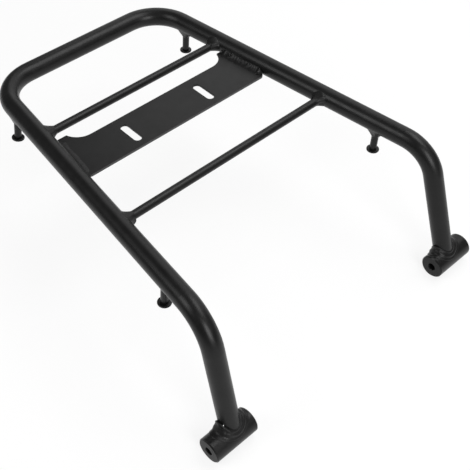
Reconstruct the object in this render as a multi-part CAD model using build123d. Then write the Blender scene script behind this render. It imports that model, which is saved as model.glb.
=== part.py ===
from build123d import *
import os
from math import acos, cos, degrees, radians, sin, sqrt

os.makedirs("parts", exist_ok=True)

# A welded tubular luggage rack for the tail of a motorcycle.
# Millimetres. The origin is midway between the two bosses, on the bore axis that they share.
# X runs across the rack, Y to the rear and Z up, so the deck is level.

# Main tube, placed by its centre line
tube_od = 22.0
tube_wall = 2.0
foot_half = 169.0  # middle plane to a leg's foot on the bore axis
front_half = 165.0  # middle plane to a front corner
rear_half = 119.0  # middle plane to a rear corner
left_front_y = 38.5  # a front corner, rearward of the bore axis
right_front_y = 48.0
loop_y = 450.5  # rear run of the loop
deck_z = 137.0  # rails and loop above the bore axis
front_bend_r = 44.0
rear_bend_r = 49.0

# Bosses across the feet
boss_od = 28.0
boss_len = 54.0
boss_bore = 9.0
boss_outset = 3.7  # middle of a boss, outward of its foot
boss_chamfer = 1.2
bore_chamfer = 0.6

# Crossbars between the rails
bar_d = 9.5
rear_bar_y = 345.0
front_bar_y = 187.0

# Mounting plate between the rails
plate_t = 3.0
plate_drop = 3.5  # top face below the tube's centre line
plate_back_y = 317.8  # back edge between the ears
plate_depth = 53.5  # back edge to the front edge
ear_rise = 15.7  # ears, rearward of the back edge
left_ear_w = 15.0  # an ear's back edge, from the rail inward
right_ear_w = 6.5
scallop_r = 22.0  # curve from the back edge out to an ear
plate_corner_r = 6.0
plate_edge = 0.4  # broken edge all round the sheet
fit_up_gap = 0.2  # plate's end to the tube
slot_w = 9.6
slot_len = 32.0
slot_pitch = 106.2
slot_inset = 28.2  # middle of a slot, forward of the back edge
slot_shift = 1.6  # middle of the pair, right of the middle plane

# Tie-down pegs under the rails
peg_d = 8.2
peg_head_d = 14.6
peg_head_t = 2.5
peg_rim_r = 0.9
peg_drop = 38.5  # tube's centre line to the underside of the head
rear_peg_inset = 50.0  # forward of the loop's rear run
front_peg_inset = 67.0  # rearward of the front corners

# Lean of the pegs out from under the rails, in degrees
rear_left_lean = 8.5
rear_right_lean = -3.5
front_left_lean = 4.0
front_right_lean = -2.0

# Welds
boss_weld_leg = 6.0
bar_weld_leg = 6.5
peg_weld_leg = 6.0
plate_bead_r = 5.4
plate_bead_sink = 2.0  # the bead's axis below the plate's top face

# Worked out from the driving dimensions
tube_r = tube_od / 2
plate_front_y = plate_back_y - plate_depth
ear_y = plate_back_y + ear_rise
plate_top_z = deck_z - plate_drop
seam_reach = sqrt(tube_r**2 - plate_drop**2)  # tube's axis to its side at the plate's top face
sides = {"left": -1, "right": 1}
corner_y = {-1: left_front_y, 1: right_front_y}


def foot(side):
    return Vector(side * foot_half, 0, 0)


def front_corner(side):
    return Vector(side * front_half, corner_y[side], deck_z)


def rear_corner(side):
    return Vector(side * rear_half, loop_y, deck_z)


def rail_point(side, y):
    """The point of a rail's centre line at a distance along Y."""
    share = (y - corner_y[side]) / (loop_y - corner_y[side])
    return front_corner(side) + (rear_corner(side) - front_corner(side)) * share


def rail_outward(side):
    """The level direction square to a rail, away from the middle plane."""
    run = (rear_corner(side) - front_corner(side)).normalized()
    return run.cross(Vector(0, 0, side))


def plate_end_x(side, y, gap):
    """The middle plane to a rail's side at the plate's top face, less a gap."""
    return abs(rail_point(side, y).X) - (seam_reach + gap) / abs(rail_outward(side).X)


def rod(start, end, radius):
    """A round bar from one point to another."""
    run = end - start
    return extrude(Plane(origin=start, z_dir=run) * Circle(radius), run.length)


def rail_stub(side, first_y, last_y):
    """A straight length of rail round a joint, with enough beyond it to carry the weld."""
    margin = 2 * tube_od
    return rod(rail_point(side, first_y - margin), rail_point(side, last_y + margin), tube_r)


def ring_weld(member, base, leg):
    """The skirt of weld metal where a round member stands on a round base."""
    joined = member + base
    seam = new_edges(member, base, combined=joined)
    return joined.chamfer(leg, None, seam) - member - base


def boss_blank(side, extra=0.0):
    """The boss's outer cylinder, run out by a margin at each end."""
    middle = side * (foot_half + boss_outset)
    reach = boss_len / 2 + extra
    return rod(Vector(middle - reach, 0, 0), Vector(middle + reach, 0, 0), boss_od / 2)


def make_tube_solid(radius):
    """The bent tube's path with a solid round section."""
    corners = [foot(-1), front_corner(-1), rear_corner(-1), rear_corner(1), front_corner(1), foot(1)]
    bends = [front_bend_r, rear_bend_r, rear_bend_r, front_bend_r]
    path = FilletPolyline(*corners, radius=bends)
    section = Plane(origin=path @ 0, z_dir=path % 0) * Circle(radius)
    return sweep(section, path=path)


def make_main_tube(tube_solid):
    """The hollow tube, with its feet cut to the round of the bosses."""
    tube = tube_solid - make_tube_solid(tube_r - tube_wall)
    for side in sides.values():
        tube -= boss_blank(side)
    return tube


def make_boss(side):
    middle = side * (foot_half + boss_outset)
    reach = Vector(boss_len / 2 + boss_chamfer, 0, 0)
    centre = Vector(middle, 0, 0)
    boss = boss_blank(side) - rod(centre - reach, centre + reach, boss_bore / 2)
    rims = boss.edges().filter_by(GeomType.CIRCLE).group_by(SortBy.RADIUS)
    boss = chamfer(rims[-1], boss_chamfer)
    rims = boss.edges().filter_by(GeomType.CIRCLE).group_by(SortBy.RADIUS)
    return chamfer(rims[0], bore_chamfer)


def make_crossbar(y, tube_solid):
    """A bar from rail to rail, its ends cut to the round of the tube."""
    return rod(rail_point(-1, y), rail_point(1, y), bar_d / 2) - tube_solid


def make_bar_weld(side, y):
    start = rail_point(side, y)
    inner_end = Vector(start.X - side * 3 * tube_od, y, deck_z)
    return ring_weld(rod(start, inner_end, bar_d / 2), rail_stub(side, y, y), bar_weld_leg)


def plate_half(side, ear_w):
    """The sheet's outline from the middle plane to one rail, with one ear."""
    turn = acos(1 - ear_rise / scallop_r)
    front_x = plate_end_x(side, plate_front_y, fit_up_gap)
    ear_x = plate_end_x(side, ear_y, fit_up_gap)
    ear_tip_x = ear_x - ear_w
    scallop_x = ear_tip_x - scallop_r * sin(turn)
    edge = Polyline(
        (scallop_x, plate_back_y),
        (0, plate_back_y),
        (0, plate_front_y),
        (front_x, plate_front_y),
        (ear_x, ear_y),
        (ear_tip_x, ear_y),
    )
    edge += CenterArc((scallop_x, plate_back_y + scallop_r), scallop_r, -90, degrees(turn))
    half = make_face(edge)
    outer_corner = half.vertices().group_by(Axis.Y)[0].sort_by(Axis.X)[-1]
    half = fillet(outer_corner, plate_corner_r)
    return half if side > 0 else mirror(half, Plane.YZ)


def make_plate():
    """The sheet between the rails: straight front edge, back edge scalloped out to two ears."""
    outline = plate_half(-1, left_ear_w) + plate_half(1, right_ear_w)
    slot_y = plate_back_y - slot_inset
    for side in sides.values():
        slot_x = slot_shift + side * slot_pitch / 2
        outline -= Pos(slot_x, slot_y) * SlotOverall(slot_len, slot_w, rotation=90)
    plate = extrude(Pos(0, 0, plate_top_z - plate_t) * outline, plate_t)
    faces = plate.faces().filter_by(Axis.Z).sort_by(Axis.Z)
    return chamfer(faces[0].edges() + faces[-1].edges(), plate_edge)


def make_plate_weld(side):
    """A low, round-ended run of weld on the plate along a rail."""
    first_y = plate_front_y + plate_corner_r + plate_bead_r
    last_y = ear_y - plate_bead_r - fit_up_gap
    axis_z = plate_top_z - plate_bead_sink
    first = Vector(side * plate_end_x(side, first_y, 0), first_y, axis_z)
    last = Vector(side * plate_end_x(side, last_y, 0), last_y, axis_z)
    bead = rod(first, last, plate_bead_r)
    for end in (first, last):
        bead += Pos(end) * Sphere(plate_bead_r)
    middle = (first + last) * 0.5
    depth = 2 * plate_bead_r
    span = 2 * (last - first).length
    under = Pos(middle.X, middle.Y, plate_top_z - depth / 2) * Box(span, span, depth)
    return bead - under - rail_stub(side, first_y, last_y)


def peg_ends(side, y, lean):
    """A peg's axis, from the rail's centre line down to the underside of its head."""
    top = rail_point(side, y)
    outward = rail_outward(side) * sin(radians(lean))
    downward = Vector(0, 0, -cos(radians(lean)))
    return top, top + (outward + downward) * peg_drop


def make_peg(side, y, lean, tube_solid):
    """A rod under a rail with a thin round head."""
    top, bottom = peg_ends(side, y, lean)
    upward = (top - bottom).normalized()
    head = rod(bottom, bottom + upward * peg_head_t, peg_head_d / 2)
    head = fillet(head.edges().filter_by(GeomType.CIRCLE), peg_rim_r)
    return rod(bottom, top, peg_d / 2) + head - tube_solid


def make_peg_weld(side, y, lean, tube_solid):
    top, bottom = peg_ends(side, y, lean)
    return ring_weld(rod(bottom, top, peg_d / 2), tube_solid, peg_weld_leg)


def make_boss_weld(side):
    """The weld round a foot, made on the right and mirrored for the left."""
    start = foot(1)
    corner = Vector(front_half, corner_y[side], deck_z)
    leg = rod(start, start + (corner - start).normalized() * 2 * boss_od, tube_r)
    weld = ring_weld(leg, boss_blank(1, 2 * boss_weld_leg), boss_weld_leg)
    return weld if side > 0 else mirror(weld, Plane.YZ)


def make_nodes():
    """Every piece of the rack by name."""
    tube_solid = make_tube_solid(tube_r)
    bar_places = {"rear": rear_bar_y, "front": front_bar_y}
    rear_peg_y = loop_y - rear_peg_inset
    pegs = {
        "rear_left": (-1, rear_peg_y, rear_left_lean),
        "rear_right": (1, rear_peg_y, rear_right_lean),
        "front_left": (-1, left_front_y + front_peg_inset, front_left_lean),
        "front_right": (1, right_front_y + front_peg_inset, front_right_lean),
    }
    nodes = {
        "main_tube": make_main_tube(tube_solid),
        "mounting_plate": make_plate(),
    }
    for place, y in bar_places.items():
        nodes[f"{place}_crossbar"] = make_crossbar(y, tube_solid)
    for name, side in sides.items():
        nodes[f"{name}_boss"] = make_boss(side)
        nodes[f"{name}_boss_weld"] = make_boss_weld(side)
        nodes[f"plate_{name}_weld"] = make_plate_weld(side)
        for place, y in bar_places.items():
            nodes[f"{place}_bar_{name}_weld"] = make_bar_weld(side, y)
    for place, facts in pegs.items():
        nodes[f"{place}_peg"] = make_peg(*facts, tube_solid)
        nodes[f"{place}_peg_weld"] = make_peg_weld(*facts, tube_solid)
    return nodes


for name, shape in make_nodes().items():
    export_step(shape, f"parts/{name}.step")
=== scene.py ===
from bisect import bisect_right
from collections import namedtuple
from math import cos, exp, pi, radians, sin, sqrt
from random import Random

import bmesh
import bpy
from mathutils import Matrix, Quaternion, Vector


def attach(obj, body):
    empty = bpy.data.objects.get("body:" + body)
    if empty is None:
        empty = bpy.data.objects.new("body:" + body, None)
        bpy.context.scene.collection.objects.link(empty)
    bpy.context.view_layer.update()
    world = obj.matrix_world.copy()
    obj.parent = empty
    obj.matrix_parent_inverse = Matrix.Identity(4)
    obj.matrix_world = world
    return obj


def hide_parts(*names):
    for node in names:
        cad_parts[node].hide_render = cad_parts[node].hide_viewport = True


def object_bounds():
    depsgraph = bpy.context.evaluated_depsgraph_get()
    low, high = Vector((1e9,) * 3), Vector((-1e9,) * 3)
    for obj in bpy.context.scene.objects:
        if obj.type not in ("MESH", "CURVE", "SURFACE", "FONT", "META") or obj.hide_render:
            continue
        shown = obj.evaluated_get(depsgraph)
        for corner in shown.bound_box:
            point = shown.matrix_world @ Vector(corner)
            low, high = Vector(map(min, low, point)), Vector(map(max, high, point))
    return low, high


# A satin black tubular luggage rack. Metres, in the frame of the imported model:
# X runs across the rack, Y to the rear, Z up, and the origin is between the bosses.

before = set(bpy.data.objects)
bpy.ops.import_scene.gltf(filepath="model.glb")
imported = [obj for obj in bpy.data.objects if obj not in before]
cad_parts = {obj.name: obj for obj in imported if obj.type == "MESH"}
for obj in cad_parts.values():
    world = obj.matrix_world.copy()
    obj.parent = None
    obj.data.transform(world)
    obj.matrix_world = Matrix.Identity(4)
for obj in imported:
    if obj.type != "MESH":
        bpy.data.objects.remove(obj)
cad_low, cad_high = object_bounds()
middle = (cad_low + cad_high) / 2

# The rack's layout, as the solids have it
sides = {"left": -1, "right": 1}
tube_radius = 0.0110
foot_half = 0.1690  # middle plane to a leg's foot
front_half = 0.1650  # middle plane to a front corner
rear_half = 0.1190  # middle plane to a rear corner
corner_y = {-1: 0.0385, 1: 0.0480}  # front corners
loop_y = 0.4505
deck_z = 0.1370
boss_radius = 0.0140
bar_radius = 0.00475
bars = {"front": 0.1870, "rear": 0.3450}
plate_drop = 0.0035  # top face below the rails' centre lines
plate_front = 0.2643
plate_weld_front = 0.2700
plate_weld_back = 0.3320

# Pegs under the rails: side, place along Y and lean in degrees
Peg = namedtuple("Peg", "side y lean")
peg_radius = 0.0041
rear_peg_inset = 0.0500
front_peg_inset = 0.0670
pegs = {
    "rear_left": Peg(-1, loop_y - rear_peg_inset, 8.5),
    "rear_right": Peg(1, loop_y - rear_peg_inset, -3.5),
    "front_left": Peg(-1, corner_y[-1] + front_peg_inset, 4.0),
    "front_right": Peg(1, corner_y[1] + front_peg_inset, -2.0),
}

# A round bar of the rack: a point on its axis, its direction and its radius
Rod = namedtuple("Rod", "start way radius")

# Weld beads: legs on the member and on the base, fullness of the section (1 is straight),
# scales along the bead and their rise, passes across it and the rise of their ridges
Bead = namedtuple("Bead", "member_leg base_leg fullness scales scale_rise passes pass_rise")
bar_bead = Bead(0.0080, 0.0056, 0.82, 11, 0.00015, 1, 0.0)
peg_bead = Bead(0.0072, 0.0064, 0.90, 9, 0.00015, 1, 0.0)
boss_bead = Bead(0.0045, 0.0064, 1.15, 12, 0.00015, 3, 0.0008)
plate_beads = {
    "left": Bead(0.0060, 0.0082, 0.70, 19, 0.00015, 1, 0.0),
    "right": Bead(0.0062, 0.0078, 0.74, 19, 0.00010, 1, 0.0),
}

# Legs and fullness of a boss's bead at the left and at the right of its foot
boss_ends = {
    "left": {-1: (0.0100, 0.0120, 0.55), 1: (0.0060, 0.0092, 0.95)},
    "right": {-1: (0.0085, 0.0092, 0.60), 1: (0.0060, 0.0100, 0.95)},
}

# Lumps scattered over a bead: how many, and their usual length, width and rise (dents where it is negative)
Scatter = namedtuple("Scatter", "count length width rise")
bar_scatter = Scatter(9, 0.05, 0.30, 0.0004)
peg_scatter = Scatter(6, 0.06, 0.30, 0.0005)
boss_scatter = Scatter(12, 0.035, 0.22, 0.0006)
plate_scatter = Scatter(80, 0.015, 0.12, -0.00042)
lump_size_range = (0.6, 1.4)
lump_rise_range = (-0.7, 1.0)
lump_share_range = (0.15, 0.85)

# Lumps chosen for a bead: place along it, share across it, length, width, rise and, for a crater's ring, 1
Lump = namedtuple("Lump", "place share length width rise ring")
chosen_lumps = {
    "left_boss_weld": [
        Lump(0.50, 0.20, 0.13, 0.20, 0.0030, 0),
        Lump(0.66, 0.30, 0.05, 0.20, 0.0010, 0),
    ],
    "right_boss_weld": [Lump(0.50, 0.22, 0.08, 0.20, 0.0022, 0)],
    "rear_bar_right_weld": [Lump(0.68, 0.50, 0.10, 0.50, 0.0018, 0)],
    "front_bar_left_weld": [Lump(0.56, 0.40, 0.05, 0.25, 0.0016, 0)],
    "front_bar_right_weld": [
        Lump(0.48, 0.50, 0.09, 0.50, -0.0018, 0),
        Lump(0.67, 0.70, 0.05, 0.25, 0.0016, 0),
    ],
    "plate_right_weld": [
        Lump(0.77, 0.22, 0.028, 0.20, 0.0014, 1),
        Lump(0.05, 0.45, 0.035, 0.40, 0.0024, 0),
    ],
}
ring_sharpness = 3

# Unevenness that all beads share
scale_length_range = (0.6, 1.4)
scale_height_range = (0.3, 1.6)
scale_bow = 0.35  # how far a scale's edge bows along the bead, in scales
wave_counts = (2, 3, 5)
wave_size_range = (0.5, 1.0)
pass_wander = 0.04
bead_unevenness = 0.12
bead_buried = 0.0006  # how deep a bead's back lies in the metal
run_out = 0.1  # share of the section that is left at the ends of a straight bead
last_place = 0.9999  # keeps the far end of a straight bead from taking the skin of its start

# Fineness of the beads
ring_steps = 256
section_steps = 28
plate_bead_steps = 400
slide_steps = 8

# A bare nodule of weld metal on the left leg, just over its bead
nodule_place = Vector((-0.1789, 0.0014, 0.0229))
nodule_radius = 0.0009
nodule_subdivisions = 3
metal_tone = 0.6
metal_gloss = (0.15, 0.25)

# Powder coat: tones from darkest to lightest, and for each finish the roughness and the depth of its peel
Finish = namedtuple("Finish", "smoothest roughest peel_depth")
coat_tones = (0.0040, 0.0065)
coat_specular = 0.25
smooth_finish = Finish(0.30, 0.38, 0.00006)
bead_finish = Finish(0.34, 0.44, 0.00008)
peel_strength = 0.25

# Painted highlight along the plate's front edge, as a paler tone, and the finish of the bosses' sawn ends
painted_highlight_width = 0.0005
painted_highlight_tone = 0.04
end_facing = 0.9
end_roughness = 0.14

# Noise in the materials
Noise = namedtuple("Noise", "scale detail")
tone_noise = Noise(35.0, 3.0)
gloss_noise = Noise(90.0, 2.0)
peel_noise = Noise(750.0, 2.0)
metal_noise = Noise(900.0, 2.0)
noise_low = 0.3
noise_high = 0.7

# Camera
camera_place = Vector((-0.4690, -0.3111, 0.7627))
camera_aim = Vector((-0.0737, 0.0994, 0.1370))
camera_roll = radians(1.07)
camera_lens = 66.56
camera_sensor = 36.0

# Stage
world_grey = 0.2
floor_white = 1.0
floor_reach = 12.0
floor_albedo = 0.9
floor_shadow_share = 0.2
floor_white_radius = 0.75
floor_fade_radius = 2.0

# Softboxes: azimuth from +X to +Y and elevation in degrees, width, height, luminance
Softbox = namedtuple("Softbox", "azimuth elevation width height luminance")
softbox_distance = 1.9
softboxes = {
    "right_wall": Softbox(22, 42, 2.4, 1.1, 1.05),
    "right_low": Softbox(25, 14, 3.4, 1.0, 0.6),
    "front_wall": Softbox(-80, 44, 2.2, 1.2, 0.4),
    "front_low": Softbox(-100, 14, 1.3, 1.0, 0.7),
    "front_strip": Softbox(-104, 31, 0.75, 0.95, 7.0),
    "top_box": Softbox(-22, 66, 1.35, 0.85, 4.2),
    "left_box": Softbox(159, 42, 0.8, 1.0, 4.4),
}


def grey(tone):
    """A colour without a hue."""
    return (tone, tone, tone, 1)


def new_material(name):
    """A material with an empty node tree and its output."""
    material = bpy.data.materials.new(name)
    material.use_nodes = True
    tree = material.node_tree
    tree.nodes.clear()
    output = tree.nodes.new("ShaderNodeOutputMaterial")
    return material, tree, output


def add_node(tree, kind, **inputs):
    """A node with its unlinked sockets set by name."""
    node = tree.nodes.new(kind)
    for name, value in inputs.items():
        node.inputs[name.replace("_", " ")].default_value = value
    return node


def noise_over(tree, coordinates, noise):
    """Noise over the surface."""
    node = add_node(tree, "ShaderNodeTexNoise", Scale=noise.scale, Detail=noise.detail)
    tree.links.new(coordinates, node.inputs["Vector"])
    return node.outputs["Fac"]


def noise_range(tree, coordinates, noise, low, high):
    """Noise over the surface, as a number between two values."""
    spread = add_node(
        tree,
        "ShaderNodeMapRange",
        From_Min=noise_low,
        From_Max=noise_high,
        To_Min=low,
        To_Max=high,
    )
    tree.links.new(noise_over(tree, coordinates, noise), spread.inputs["Value"])
    return spread.outputs["Result"]


def part_of(tree, vector, axis):
    """What a vector has along an axis."""
    parts = tree.nodes.new("ShaderNodeSeparateXYZ")
    tree.links.new(vector, parts.inputs["Vector"])
    return parts.outputs[axis]


def calculate(tree, operation, *values):
    """The result of an operation on values that are outputs or plain numbers."""
    node = tree.nodes.new("ShaderNodeMath")
    node.operation = operation
    for socket, value in zip(node.inputs, values):
        if isinstance(value, bpy.types.NodeSocket):
            tree.links.new(value, socket)
        else:
            socket.default_value = value
    return node.outputs["Value"]


def powder_coat(name, finish, painted_highlight_y=None, rough_ends=None):
    """Black powder coat: a fine orange peel, with tone and gloss that drift a little.

    A painted highlight can lie forward of a place along Y, as a paler tone, and the coat is rougher on sawn
    ends that face along X.
    """
    material, tree, output = new_material(name)
    coordinates = tree.nodes.new("ShaderNodeTexCoord")
    place = coordinates.outputs["Object"]
    shader = add_node(tree, "ShaderNodeBsdfPrincipled", Specular_IOR_Level=coat_specular)
    tone = noise_range(tree, place, tone_noise, *coat_tones)
    # Painted highlight: a paler tone along the plate's front edge, standing in for the light that the edge
    # catches
    if painted_highlight_y:
        on_painted_highlight = calculate(tree, "LESS_THAN", part_of(tree, place, "Y"), painted_highlight_y)
        tone = calculate(tree, "MULTIPLY_ADD", on_painted_highlight, painted_highlight_tone, tone)
    tint = tree.nodes.new("ShaderNodeCombineColor")
    for channel in ("Red", "Green", "Blue"):
        tree.links.new(tone, tint.inputs[channel])
    tree.links.new(tint.outputs["Color"], shader.inputs["Base Color"])
    gloss = noise_range(tree, place, gloss_noise, finish.smoothest, finish.roughest)
    if rough_ends:
        facing = calculate(tree, "ABSOLUTE", part_of(tree, coordinates.outputs["Normal"], "X"))
        on_end = calculate(tree, "GREATER_THAN", facing, end_facing)
        gloss = calculate(tree, "MULTIPLY_ADD", on_end, rough_ends, gloss)
    tree.links.new(gloss, shader.inputs["Roughness"])
    bump = add_node(tree, "ShaderNodeBump", Strength=peel_strength, Distance=finish.peel_depth)
    tree.links.new(noise_over(tree, place, peel_noise), bump.inputs["Height"])
    tree.links.new(bump.outputs["Normal"], shader.inputs["Normal"])
    tree.links.new(shader.outputs["BSDF"], output.inputs["Surface"])
    return material


def bare_metal(name):
    """Uncoated steel with a gloss that drifts a little."""
    material, tree, output = new_material(name)
    place = tree.nodes.new("ShaderNodeTexCoord").outputs["Object"]
    shader = add_node(tree, "ShaderNodeBsdfPrincipled", Base_Color=grey(metal_tone), Metallic=1.0)
    gloss = noise_range(tree, place, metal_noise, *metal_gloss)
    tree.links.new(gloss, shader.inputs["Roughness"])
    tree.links.new(shader.outputs["BSDF"], output.inputs["Surface"])
    return material


def rail_point(side, y):
    """A point on a rail's centre line."""
    share = (y - corner_y[side]) / (loop_y - corner_y[side])
    return Vector((side * (front_half + (rear_half - front_half) * share), y, deck_z))


def rail(side):
    """The straight stretch of the tube along one side of the deck."""
    start = rail_point(side, corner_y[side])
    return Rod(start, (rail_point(side, loop_y) - start).normalized(), tube_radius)


def across(vector, way):
    """What a vector has square to a direction."""
    return vector - way * vector.dot(way)


def leave_height(point, way, rod):
    """How far along a line from inside a rod its skin is met."""
    offset = across(point - rod.start, rod.way)
    rise = across(way, rod.way)
    steep = rise.dot(rise)
    lean = offset.dot(rise)
    return (sqrt(lean * lean - steep * (offset.dot(offset) - rod.radius * rod.radius)) - lean) / steep


def slide(point, heading, rod, length):
    """A point on a rod's skin moved over the skin by a length, and the way out of the skin there."""
    for step in range(slide_steps):
        outward = across(point - rod.start, rod.way).normalized()
        point = point + across(heading, outward).normalized() * (length / slide_steps)
        offset = across(point - rod.start, rod.way)
        outward = offset.normalized()
        point = point + outward * (rod.radius - offset.length)
    return point, outward


def lumps_for(node_name, scatter):
    """Lumps and dents at random places on a weld's bead, and those chosen for it."""
    chance = Random(node_name)
    lumps = []
    for number in range(scatter.count):
        size = chance.uniform(*lump_size_range)
        rise = scatter.rise * chance.uniform(*lump_rise_range)
        place = chance.random()
        share = chance.uniform(*lump_share_range)
        lumps.append(Lump(place, share, scatter.length * size, scatter.width * size, rise, 0))
    return lumps + chosen_lumps.get(node_name, [])


class BeadSkin:
    """The uneven skin of a bead: its scales, its passes, its lumps and the swell along it."""

    def __init__(self, bead, seed, lumps):
        chance = Random(seed)
        self.bead = bead
        self.lumps = lumps
        lengths = [chance.uniform(*scale_length_range) for scale in range(bead.scales)]
        self.ends = [sum(lengths[: number + 1]) / sum(lengths) for number in range(bead.scales)]
        self.heights = [chance.uniform(*scale_height_range) for scale in range(bead.scales)]
        self.waves = []
        for count in wave_counts:
            shift = chance.uniform(0, 2 * pi)
            size = chance.uniform(*wave_size_range) / count
            self.waves.append((count, shift, size))

    def wave(self, place):
        """A slow wander along the bead, about zero."""
        return sum(size * sin(2 * pi * count * place + shift) for count, shift, size in self.waves)

    def swell(self, place):
        """How much larger or smaller than usual the bead is at a place."""
        return 1 + bead_unevenness * self.wave(place)

    def scale(self, place):
        """A scale's height at a place, none where scales meet."""
        number = bisect_right(self.ends, place)
        start = self.ends[number - 1] if number else 0.0
        part = (place - start) / (self.ends[number] - start)
        return self.heights[number] * 4 * part * (1 - part)

    def lift(self, place, share):
        """How far the skin stands off the plain section, by place along the bead and share across it."""
        bowed = (place + scale_bow * (2 * share - 1) ** 2 / self.bead.scales) % 1
        height = self.bead.scale_rise * self.scale(bowed)
        turns = self.bead.passes * (share + pass_wander * self.wave(place))
        height += self.bead.pass_rise * (1 - cos(2 * pi * turns)) / 2
        for lump in self.lumps:
            along = ((place - lump.place + 0.5) % 1 - 0.5) / lump.length
            apart = sqrt(along**2 + ((share - lump.share) / lump.width) ** 2)
            height += lump.rise * exp(-((apart - lump.ring) ** 2) * (1 + ring_sharpness * lump.ring))
        return height * sqrt(max(sin(pi * share), 0))

    def section(self, seam, top, toe, fullness, place):
        """The bead's visible edge, from its toe on the member to its toe on the base, and its root."""
        way = ((top + toe) / 2 - seam).normalized()
        points = []
        for step in range(section_steps + 1):
            share = step / section_steps
            upper = max(cos(pi / 2 * share), 0) ** (2 / fullness)
            lower = sin(pi / 2 * share) ** (2 / fullness)
            plain = seam + (top - seam) * upper + (toe - seam) * lower
            points.append(plain + way * self.lift(place, share))
        return points, seam - way * bead_buried


def finish_bead(node_name, sections, ring):
    """A closed bead from its sections, in place of a weld's solid."""
    count = len(sections[0])
    rows = len(sections)
    vertices = [point for section in sections for point in section]
    faces = []
    for row in range(rows if ring else rows - 1):
        here = row * count
        beyond = (row + 1) % rows * count
        for column in range(count):
            beside = (column + 1) % count
            faces.append((here + column, here + beside, beyond + beside, beyond + column))
    if not ring:
        faces.append(tuple(reversed(range(count))))
        faces.append(tuple(range((rows - 1) * count, rows * count)))
    mesh = bpy.data.meshes.new(f"{node_name}_bead")
    mesh.from_pydata(vertices, [], faces)
    mesh.materials.append(weld_coat)
    mesh.polygons.foreach_set("use_smooth", [True] * len(faces))
    bead = bpy.data.objects.new(f"{node_name}_bead", mesh)
    bpy.context.scene.collection.objects.link(bead)
    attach(bead, "root")
    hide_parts(node_name)


def ring_bead(node_name, member, base, bead, lumps, ends=None):
    """A bead round a member that stands on a base. Its left and right may differ in legs and fullness."""
    skin = BeadSkin(bead, node_name, lumps)
    along = across(base.way, member.way).normalized()
    beside = member.way.cross(along)
    sections = []
    for step in range(ring_steps):
        place = step / ring_steps
        outward = along * cos(2 * pi * place) + beside * sin(2 * pi * place)
        form = (bead.member_leg, bead.base_leg, bead.fullness)
        if ends:
            end = ends[1 if outward.x > 0 else -1]
            form = [near + (far - near) * outward.x**2 for near, far in zip(form, end)]
        member_leg, base_leg, fullness = form
        seam = member.start + outward * member.radius
        seam = seam + member.way * leave_height(seam, member.way, base)
        top = seam + member.way * member_leg * skin.swell(place)
        toe, toe_out = slide(seam, outward, base, base_leg * skin.swell(place))
        points, root = skin.section(seam, top, toe, fullness, place)
        sections.append(points + [toe - toe_out * bead_buried, root, top - outward * bead_buried])
    finish_bead(node_name, sections, True)


def plate_bead(node_name, side, bead, lumps):
    """A bead along the plate's end, from the rail's side down to the plate."""
    skin = BeadSkin(bead, node_name, lumps)
    base = rail(side)
    up = Vector((0, 0, 1))
    inward = across(Vector((-side, 0, 0)), base.way).normalized()
    seam_reach = sqrt(tube_radius**2 - plate_drop**2)
    length = plate_weld_back - plate_weld_front
    sections = []
    for step in range(plate_bead_steps + 1):
        place = step / plate_bead_steps
        seam = rail_point(side, plate_weld_front + length * place)
        seam = seam + inward * seam_reach - up * plate_drop
        from_end = min(place, 1 - place) * length / bead.member_leg
        rounding = sqrt(1 - max(1 - from_end, 0) ** 2)
        taper = skin.swell(place) * max(rounding, run_out)
        toe = seam + inward * bead.base_leg * taper
        top, top_out = slide(seam, up, base, bead.member_leg * taper)
        points, root = skin.section(seam, top, toe, bead.fullness, min(place, last_place))
        sections.append(points + [toe - up * bead_buried, root, top - top_out * bead_buried])
    # The right bead's sections mirror the left one's: they run back to front, so that its faces look outward
    if side > 0:
        sections.reverse()
    finish_bead(node_name, sections, False)


def make_bar_bead(bar_name, name):
    """The bead where a crossbar meets a rail."""
    node_name = f"{bar_name}_bar_{name}_weld"
    side = sides[name]
    member = Rod(rail_point(side, bars[bar_name]), Vector((-side, 0, 0)), bar_radius)
    ring_bead(node_name, member, rail(side), bar_bead, lumps_for(node_name, bar_scatter))


def make_boss_bead(name):
    """The bead round a leg where it stands on its boss."""
    node_name = f"{name}_boss_weld"
    side = sides[name]
    foot = Vector((side * foot_half, 0, 0))
    corner = Vector((side * front_half, corner_y[side], deck_z))
    leg = Rod(foot, (corner - foot).normalized(), tube_radius)
    boss = Rod(foot, Vector((1, 0, 0)), boss_radius)
    ring_bead(node_name, leg, boss, boss_bead, lumps_for(node_name, boss_scatter), boss_ends[name])


def make_plate_bead(name):
    """The bead between the plate and a rail."""
    node_name = f"plate_{name}_weld"
    plate_bead(node_name, sides[name], plate_beads[name], lumps_for(node_name, plate_scatter))


def make_peg_bead(name):
    """The bead where a peg hangs from a rail."""
    node_name = f"{name}_peg_weld"
    peg = pegs[name]
    base = rail(peg.side)
    outward = base.way.cross(Vector((0, 0, peg.side)))
    lean = radians(peg.lean)
    down = outward * sin(lean) - Vector((0, 0, cos(lean)))
    member = Rod(rail_point(peg.side, peg.y), down, peg_radius)
    ring_bead(node_name, member, base, peg_bead, lumps_for(node_name, peg_scatter))


def make_nodule():
    """A drop of bright weld metal, half sunk in the leg."""
    ball = bmesh.new()
    bmesh.ops.create_icosphere(ball, subdivisions=nodule_subdivisions, radius=nodule_radius)
    mesh = bpy.data.meshes.new("weld_nodule")
    ball.to_mesh(mesh)
    ball.free()
    mesh.materials.append(bare_metal("bare_weld"))
    mesh.polygons.foreach_set("use_smooth", [True] * len(mesh.polygons))
    nodule = bpy.data.objects.new("weld_nodule", mesh)
    nodule.location = nodule_place
    bpy.context.scene.collection.objects.link(nodule)
    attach(nodule, "root")


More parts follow.
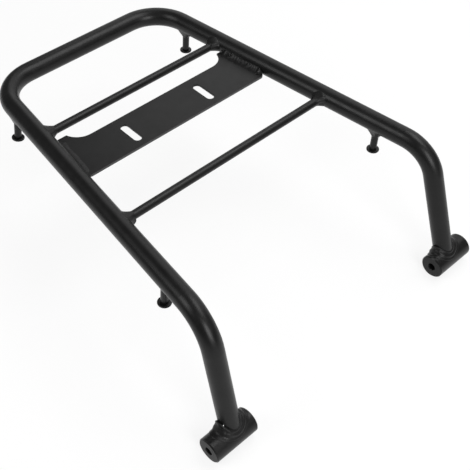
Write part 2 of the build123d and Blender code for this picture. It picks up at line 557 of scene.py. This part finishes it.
def floor_material():
    """A pale floor, white near the rack and fading to the world's grey, that keeps the shadow."""
    material, tree, output = new_material("pale_floor")
    place = tree.nodes.new("ShaderNodeNewGeometry").outputs["Position"]
    away = tree.nodes.new("ShaderNodeVectorMath")
    away.operation = "DISTANCE"
    away.inputs[1].default_value = (middle.x, middle.y, cad_low.z)
    tree.links.new(place, away.inputs[0])
    glow = add_node(
        tree,
        "ShaderNodeMapRange",
        From_Min=floor_white_radius,
        From_Max=floor_fade_radius,
        To_Min=floor_white,
        To_Max=world_grey,
    )
    glow.interpolation_type = "SMOOTHSTEP"
    tree.links.new(away.outputs["Value"], glow.inputs["Value"])
    white = add_node(tree, "ShaderNodeEmission", Color=grey(1))
    tree.links.new(glow.outputs["Result"], white.inputs["Strength"])
    paper = add_node(tree, "ShaderNodeBsdfDiffuse", Color=grey(floor_albedo))
    seen = add_node(tree, "ShaderNodeMixShader", Fac=floor_shadow_share)
    tree.links.new(white.outputs["Emission"], seen.inputs[1])
    tree.links.new(paper.outputs["BSDF"], seen.inputs[2])
    path = tree.nodes.new("ShaderNodeLightPath")
    looked_at = path.outputs["Is Camera Ray"]
    for ray in ("Is Glossy Ray", "Is Transmission Ray"):
        looked_at = calculate(tree, "MAXIMUM", looked_at, path.outputs[ray])
    surface = tree.nodes.new("ShaderNodeMixShader")
    tree.links.new(looked_at, surface.inputs["Fac"])
    tree.links.new(paper.outputs["BSDF"], surface.inputs[1])
    tree.links.new(seen.outputs["Shader"], surface.inputs[2])
    tree.links.new(surface.outputs["Shader"], output.inputs["Surface"])
    return material


def make_floor():
    """A wide sheet that the bosses rest on."""
    mesh = bpy.data.meshes.new("floor")
    reach = floor_reach
    low = cad_low.z
    corners = [(-reach, -reach, low), (reach, -reach, low), (reach, reach, low), (-reach, reach, low)]
    mesh.from_pydata(corners, [], [(0, 1, 2, 3)])
    mesh.materials.append(floor_material())
    floor = bpy.data.objects.new("floor", mesh)
    bpy.context.scene.collection.objects.link(floor)


def make_world():
    """An even grey all round."""
    world = bpy.data.worlds.new("studio")
    world.use_nodes = True
    background = world.node_tree.nodes["Background"]
    background.inputs["Color"].default_value = grey(world_grey)
    background.inputs["Strength"].default_value = 1.0
    bpy.context.scene.world = world


def make_softbox(name, box):
    """A rectangular lamp that faces the rack's middle."""
    turn = radians(box.azimuth)
    rise = radians(box.elevation)
    toward = Vector((cos(turn) * cos(rise), sin(turn) * cos(rise), sin(rise)))
    lamp = bpy.data.lights.new(name, "AREA")
    lamp.shape = "RECTANGLE"
    lamp.size = box.width
    lamp.size_y = box.height
    lamp.energy = box.luminance * pi * box.width * box.height
    holder = bpy.data.objects.new(name, lamp)
    holder.location = middle + toward * softbox_distance
    holder.rotation_euler = toward.to_track_quat("Z", "Y").to_euler()
    holder.visible_camera = False
    bpy.context.scene.collection.objects.link(holder)


def make_camera():
    """The photograph's camera."""
    lens = bpy.data.cameras.new("camera")
    lens.lens = camera_lens
    lens.sensor_width = camera_sensor
    camera = bpy.data.objects.new("camera", lens)
    camera.location = camera_place
    look = camera_aim - camera_place
    level = look.to_track_quat("-Z", "Y")
    roll = Quaternion((0, 0, 1), camera_roll)
    camera.rotation_euler = (level @ roll).to_euler()
    bpy.context.scene.collection.objects.link(camera)
    bpy.context.scene.camera = camera


# Coats of the solids
coat = powder_coat("powder_coat", smooth_finish)
weld_coat = powder_coat("coated_weld", bead_finish)
# The plate's coat carries a painted highlight along its front edge
plate_coat = powder_coat("coated_plate", smooth_finish, painted_highlight_y=plate_front + painted_highlight_width)
boss_coat = powder_coat("coated_boss", smooth_finish, rough_ends=end_roughness)
own_coats = {"mounting_plate": plate_coat, "left_boss": boss_coat, "right_boss": boss_coat}
for node_name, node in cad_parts.items():
    usual_coat = weld_coat if node_name.endswith("_weld") else coat
    node.data.materials.clear()
    node.data.materials.append(own_coats.get(node_name, usual_coat))

# Weld metal
for side_name in sides:
    for bar_name in bars:
        make_bar_bead(bar_name, side_name)
    make_boss_bead(side_name)
    make_plate_bead(side_name)
for peg_name in pegs:
    make_peg_bead(peg_name)
make_nodule()

# Stage, lamps and camera
make_world()
make_floor()
for box_name, box in softboxes.items():
    make_softbox(box_name, box)
make_camera()
bpy.context.scene.view_settings.view_transform = "Standard"
